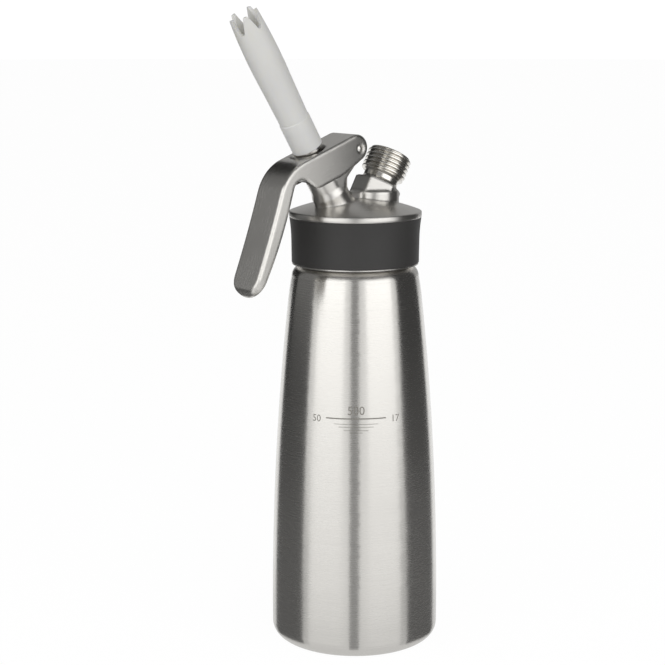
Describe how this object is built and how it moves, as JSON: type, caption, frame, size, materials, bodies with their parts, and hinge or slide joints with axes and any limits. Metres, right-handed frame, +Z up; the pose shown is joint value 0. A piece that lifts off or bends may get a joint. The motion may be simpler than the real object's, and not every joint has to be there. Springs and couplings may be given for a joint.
{
  "type": "whipped cream dispenser",
  "caption": "Handheld steel pressure bottle with a screwed-on valve head, squeeze lever, leaning decorator tip and gas charger adaptor.",
  "frame": {"origin": "on the bottle's axis, in the plane of the ring that it stands on", "axes": "+Z up along the bottle's axis, -X towards the lever's grip and the decorator tip, +X towards the charger adaptor"},
  "size_m": [0.1132, 0.082, 0.3096],
  "materials": {
    "bottle_steel": "fine brushed around",
    "head_steel": "satin polished",
    "adaptor_steel": "polished",
    "lever_steel": "brushed along",
    "pin_steel": "turned",
    "spring_steel": "drawn wire",
    "ring_silicone": "matt",
    "tip_plastic": "satin",
    "seal_rubber": "matt",
    "bush_plastic": "matt"
  },
  "bodies": {
    "bottle": {"bottle": "bottle_steel"},
    "closure": {"head_gasket": "seal_rubber"},
    "head": {"head": "head_steel", "grip_ring": "ring_silicone", "valve_guide": "bush_plastic", "guide_o_ring": "seal_rubber", "charger_adaptor": "adaptor_steel", "charger_seal": "seal_rubber", "piercing_pin": "pin_steel", "non_return_valve": "seal_rubber", "pivot_bush": "bush_plastic", "return_spring": "spring_steel"},
    "lever": {"lever": "lever_steel", "lever_pin": "pin_steel"},
    "stem": {"valve_stem": "pin_steel", "thrust_collar": "pin_steel", "valve_seal": "seal_rubber", "valve_nut": "pin_steel"},
    "tip_seat": {"tip_washer": "seal_rubber"},
    "tip": {"decorator_tip": "tip_plastic", "tip_insert": "pin_steel"}
  },
  "joints": [
    {"name": "head_lift", "type": "slide", "parent": "bottle", "child": "closure", "axis": [0, 0, 1], "range_m": [0, 0.0101]},
    {"name": "head_turn", "type": "hinge", "parent": "closure", "child": "head", "pos_m": [0, 0, 0], "axis": [0, 0, 1], "range_deg": [0, 900]},
    {"name": "lever_squeeze", "type": "hinge", "parent": "head", "child": "lever", "pos_m": [-0.0049, 0, 0.2434], "axis": [0, -1, 0], "range_deg": [0, 10], "stiffness_Nm_per_rad": 0.83, "springref_deg": -6.88},
    {"name": "stem_slide", "type": "slide", "parent": "head", "child": "stem", "axis": [0.515, 0, -0.8572], "range_m": [0, 0.0036], "deforming": ["return_spring"]},
    {"name": "tip_lift", "type": "slide", "parent": "stem", "child": "tip_seat", "axis": [-0.515, 0, 0.8572], "range_m": [0, 0.008]},
    {"name": "tip_turn", "type": "hinge", "parent": "tip_seat", "child": "tip", "pos_m": [-0.02937, 0, 0.24467], "axis": [-0.515, 0, 0.8572], "range_deg": [0, 1442]}
  ],
  "couplings": [
    {"joint": "head_lift", "follows": "head_turn", "m_per_rad": 0.00063662},
    {"joint": "stem_slide", "follows": "lever_squeeze", "m_per_rad": 0.0204},
    {"joint": "tip_turn", "follows": "tip_lift", "rad_per_m": 3141.6}
  ]
}
